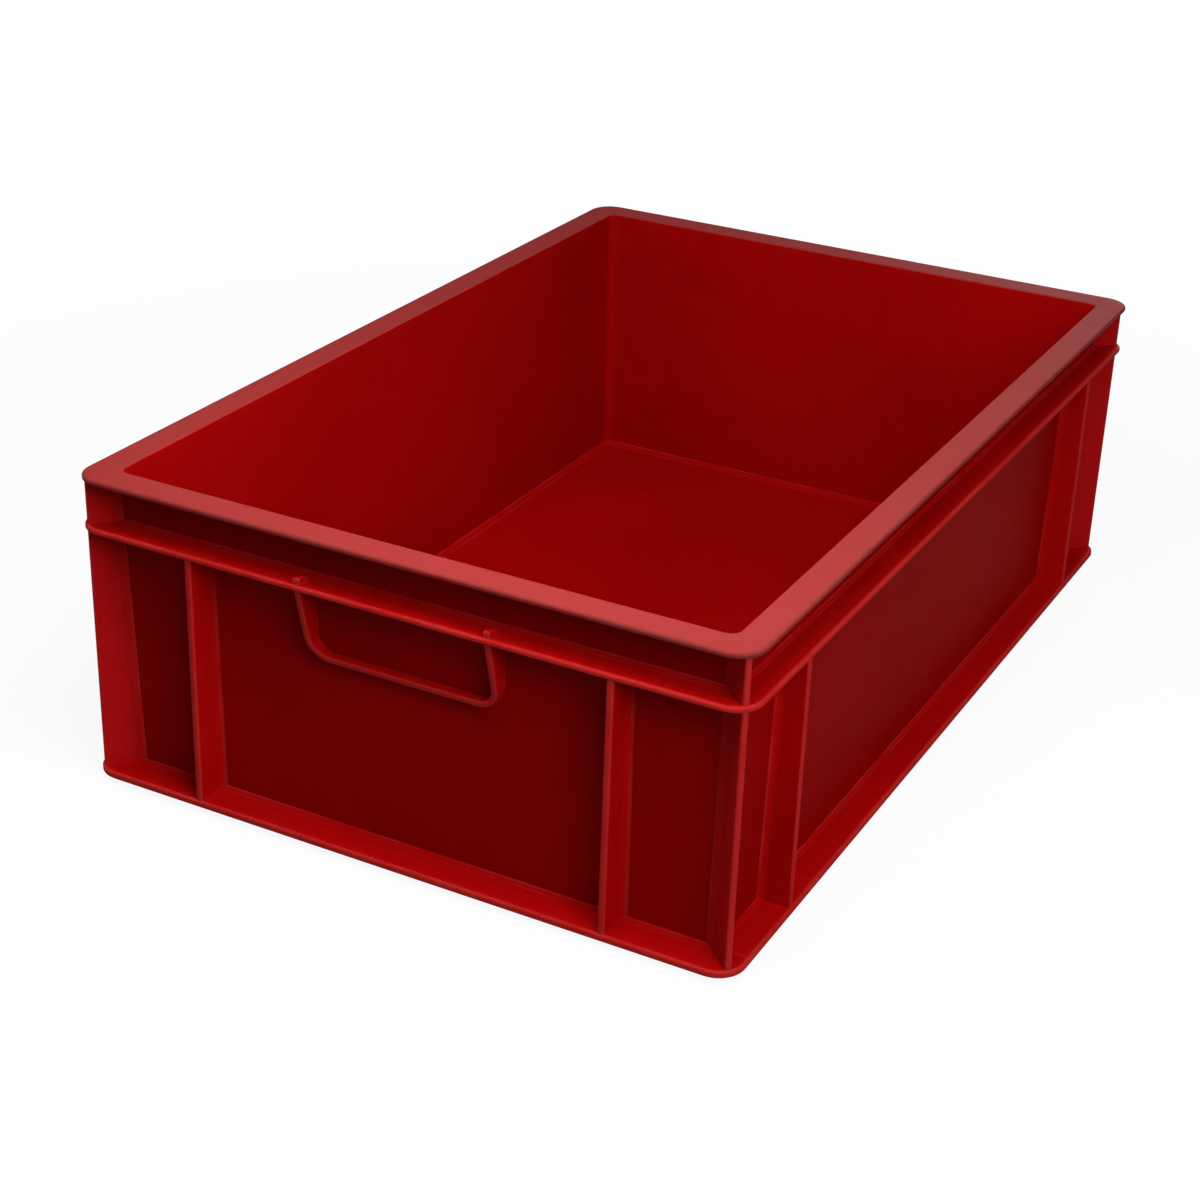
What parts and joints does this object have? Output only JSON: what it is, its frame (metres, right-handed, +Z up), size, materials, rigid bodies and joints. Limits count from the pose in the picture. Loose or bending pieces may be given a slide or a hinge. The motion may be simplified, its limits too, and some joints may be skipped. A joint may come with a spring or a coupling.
{
  "type": "stacking box",
  "caption": "Open-topped plastic stacking box with a flat rim, a second flange below it, upright ribs, diagonal corner webs, closed U-shaped handles and a stacking ring under the floor.",
  "frame": {"origin": "on the surface that the box stands on, under the middle of the box", "axes": "+X along the box from the front handle end to the rear one, +Y to the left side, +Z up"},
  "size_m": [0.6, 0.4, 0.186],
  "materials": {
    "red_plastic": "satin, fine moulded grain"
  },
  "bodies": {
    "root": {"floor_panel": "red_plastic", "front_base_flange": "red_plastic", "front_flange": "red_plastic", "front_floor_rib": "red_plastic", "front_handle_bar": "red_plastic", "front_left_corner_gusset": "red_plastic", "front_left_corner_web": "red_plastic", "front_left_end_rib": "red_plastic", "front_left_handle_leg": "red_plastic", "front_left_handle_nub": "red_plastic", "front_left_rim_corner": "red_plastic", "front_left_side_rib": "red_plastic", "front_left_wall_corner": "red_plastic", "front_right_corner_gusset": "red_plastic", "front_right_corner_web": "red_plastic", "front_right_end_rib": "red_plastic", "front_right_handle_leg": "red_plastic", "front_right_handle_nub": "red_plastic", "front_right_rim_corner": "red_plastic", "front_right_side_rib": "red_plastic", "front_right_wall_corner": "red_plastic", "front_rim": "red_plastic", "front_stacking_ring": "red_plastic", "front_wall": "red_plastic", "left_base_flange": "red_plastic", "left_flange": "red_plastic", "left_rim": "red_plastic", "left_stacking_ring": "red_plastic", "left_wall": "red_plastic", "middle_floor_rib": "red_plastic", "rear_base_flange": "red_plastic", "rear_flange": "red_plastic", "rear_floor_rib": "red_plastic", "rear_handle_bar": "red_plastic", "rear_left_corner_gusset": "red_plastic", "rear_left_corner_web": "red_plastic", "rear_left_end_rib": "red_plastic", "rear_left_handle_leg": "red_plastic", "rear_left_handle_nub": "red_plastic", "rear_left_rim_corner": "red_plastic", "rear_left_side_rib": "red_plastic", "rear_left_wall_corner": "red_plastic", "rear_right_corner_gusset": "red_plastic", "rear_right_corner_web": "red_plastic", "rear_right_end_rib": "red_plastic", "rear_right_handle_leg": "red_plastic", "rear_right_handle_nub": "red_plastic", "rear_right_rim_corner": "red_plastic", "rear_right_side_rib": "red_plastic", "rear_right_wall_corner": "red_plastic", "rear_rim": "red_plastic", "rear_stacking_ring": "red_plastic", "rear_wall": "red_plastic", "right_base_flange": "red_plastic", "right_flange": "red_plastic", "right_rim": "red_plastic", "right_stacking_ring": "red_plastic", "right_wall": "red_plastic"}
  },
  "joints": []
}
